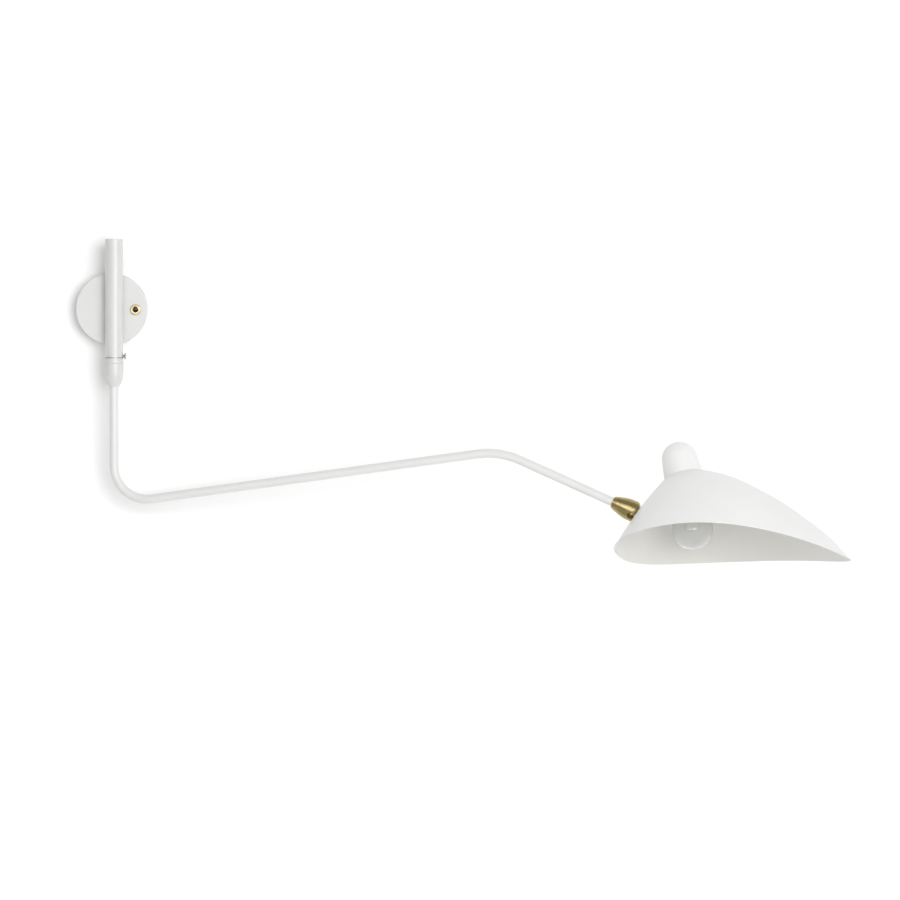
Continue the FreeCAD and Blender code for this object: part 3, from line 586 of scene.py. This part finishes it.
def back_wall():
    """The wall, with a round hole behind the canopy so that light reaches into it from behind."""
    mesh = bmesh.new()
    steps = 96
    inner = []
    outer = []
    left, right = LAMP_MIDDLE.x - WALL_HALF, LAMP_MIDDLE.x + WALL_HALF
    for step in range(steps):
        angle = 2.0 * math.pi * step / steps
        side = math.cos(angle)
        rise = math.sin(angle)
        inner.append(mesh.verts.new((WALL_HOLE_R * side, 0.0, WALL_HOLE_R * rise)))
        reach_x = (right if side > 0 else -left) / max(abs(side), 1e-6)
        reach_z = (WALL_TOP if rise > 0 else -FLOOR_Z) / max(abs(rise), 1e-6)
        reach = min(reach_x, reach_z)
        outer.append(mesh.verts.new((reach * side, 0.0, reach * rise)))
    for step in range(steps):
        after = (step + 1) % steps
        mesh.faces.new((inner[step], outer[step], outer[after], inner[after]))
    return stage_piece("back_wall", mesh, wall_paint())


def floor():
    """The floor, well below the lamp."""
    mesh = bmesh.new()
    corners = [(-1, -1), (1, -1), (1, 1), (-1, 1)]
    mesh.faces.new([mesh.verts.new((x * FLOOR_HALF, y * FLOOR_HALF, FLOOR_Z)) for x, y in corners])
    return stage_piece("floor", mesh, floor_paint())


def soft_light(name, target, direction, distance, width, power, shape):
    """A large area light aimed at a point of the lamp. The camera doesn't see it."""
    data = bpy.data.lights.new(name, "AREA")
    data.shape = shape
    data.size = width
    data.energy = power
    light = bpy.data.objects.new(name, data)
    light.location = target + direction.normalized() * distance
    light.rotation_euler = (-direction).to_track_quat("-Z", "Y").to_euler()
    light.visible_camera = False
    bpy.context.scene.collection.objects.link(light)
    return light


def grouped(name, pieces):
    """A collection that a light can be linked to."""
    group = bpy.data.collections.new(name)
    for piece in pieces:
        group.objects.link(piece)
    return group


def light_up(room):
    """The lights. The wall's key light is kept off the lamp, and only the canopy, the stem and the
    arm throw its shadow, so that the wall stays bright and bare round the shade."""
    lamp = [item for item in bpy.context.scene.objects if item.type == "MESH" and item not in room]
    key = soft_light("key_light", CANOPY, KEY_DIRECTION, KEY_DISTANCE, KEY_WIDTH, KEY_POWER, "DISK")
    key.light_linking.receiver_collection = grouped("lamp_pieces", lamp)
    wall_key = soft_light(
        "wall_key", CANOPY, KEY_DIRECTION, WALL_KEY_DISTANCE, WALL_KEY_WIDTH, WALL_KEY_POWER, "DISK"
    )
    wall_key.light_linking.receiver_collection = grouped("room_pieces", room)
    casting = [NODES[name] for name in SHADOW_NODES]
    wall_key.light_linking.blocker_collection = grouped("shadow_pieces", casting)
    glint = soft_light(
        "glint_light", KNUCKLE, GLINT_DIRECTION, GLINT_DISTANCE, GLINT_WIDTH, GLINT_POWER, "DISK"
    )
    brass = [NODES[name] for name in ("cup_front", "cup_rear")]
    glint.light_linking.receiver_collection = grouped("brass_pieces", brass)
    soft_light(
        "fill_light", LAMP_MIDDLE, FILL_DIRECTION, FILL_DISTANCE, FILL_WIDTH, FILL_POWER, "SQUARE"
    )


def world():
    """An even, pale surrounding."""
    surrounding = bpy.data.worlds.new("studio")
    surrounding.use_nodes = True
    background = surrounding.node_tree.nodes["Background"]
    background.inputs["Color"].default_value = (1.0, 1.0, 1.0, 1.0)
    background.inputs["Strength"].default_value = WORLD_STRENGTH
    bpy.context.scene.world = surrounding


def camera():
    """The camera, level and square to the wall."""
    data = bpy.data.cameras.new("camera")
    data.sensor_width = 36.0
    data.lens = CAMERA_LENS
    data.clip_end = 100.0
    view = bpy.data.objects.new("camera", data)
    view.location = CAMERA_AT
    view.rotation_euler = (math.radians(90.0), 0.0, 0.0)
    bpy.context.scene.collection.objects.link(view)
    bpy.context.scene.camera = view
    bpy.context.scene.view_settings.view_transform = "Standard"


camera()
world()
dress_nodes()
toggle_face_nut()
lock_thumb_screw()
rim_bead()
light_up([back_wall(), floor()])
